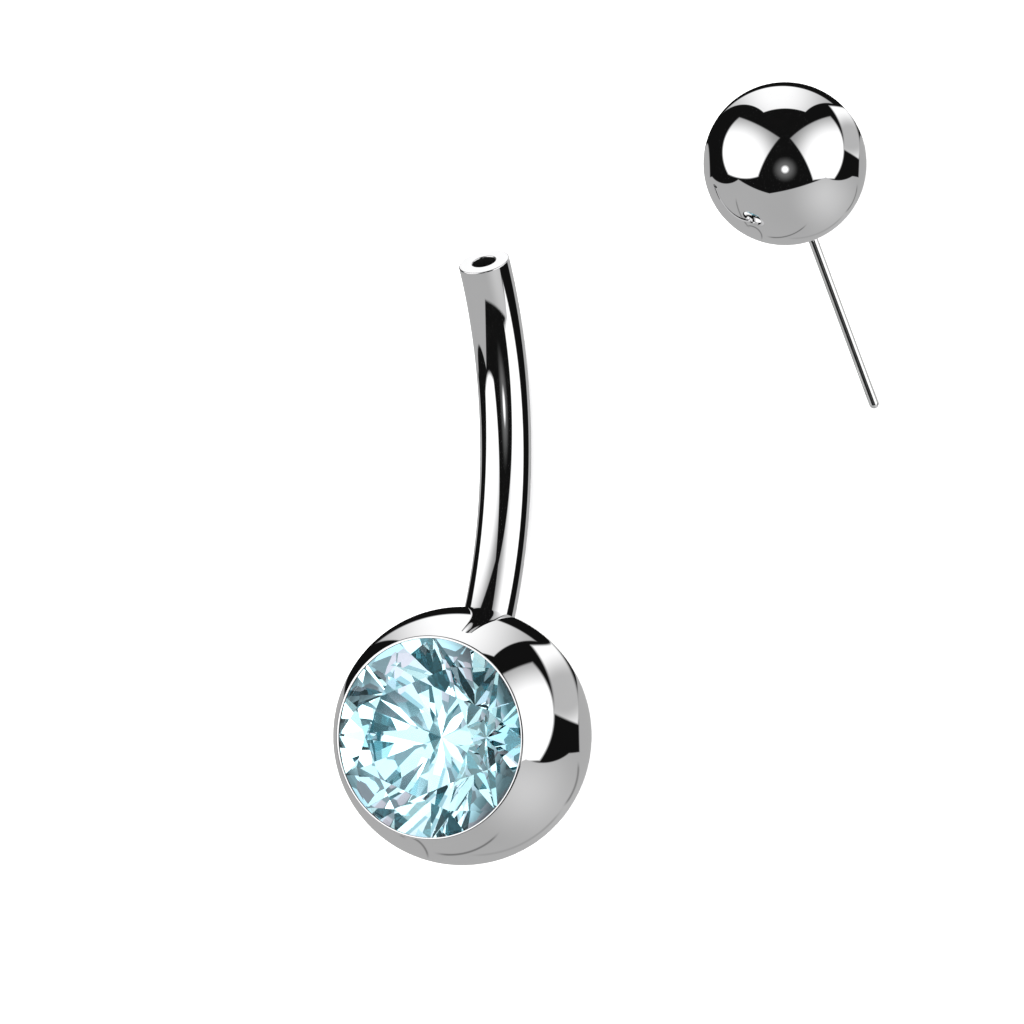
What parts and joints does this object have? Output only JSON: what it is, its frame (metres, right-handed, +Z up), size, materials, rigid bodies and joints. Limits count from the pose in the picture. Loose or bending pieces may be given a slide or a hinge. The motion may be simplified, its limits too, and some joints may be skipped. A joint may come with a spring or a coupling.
{
  "type": "navel ring",
  "caption": "Push-fit navel ring lying open: a bowed bar with a bore in its end, a jewelled ball on its root, and the small ball with its pin beside it.",
  "frame": {"origin": "the point where the jewelled ball touches the surface, straight under its centre", "axes": "+Z up from the surface, +Y level and along the bar from the jewelled ball to its open end, +X to the side where the small ball lies"},
  "size_m": [0.017, 0.024, 0.0074],
  "materials": {
    "ball_steel": "mirror-polished steel",
    "bar_steel": "mirror-polished steel",
    "pin_steel": "drawn and polished steel wire",
    "stone": "faceted and polished, pale aqua"
  },
  "bodies": {
    "root": {"jewel_ball": "ball_steel", "stone": "stone", "curved_bar": "bar_steel", "top_ball": "ball_steel", "push_pin": "pin_steel"}
  },
  "joints": []
}
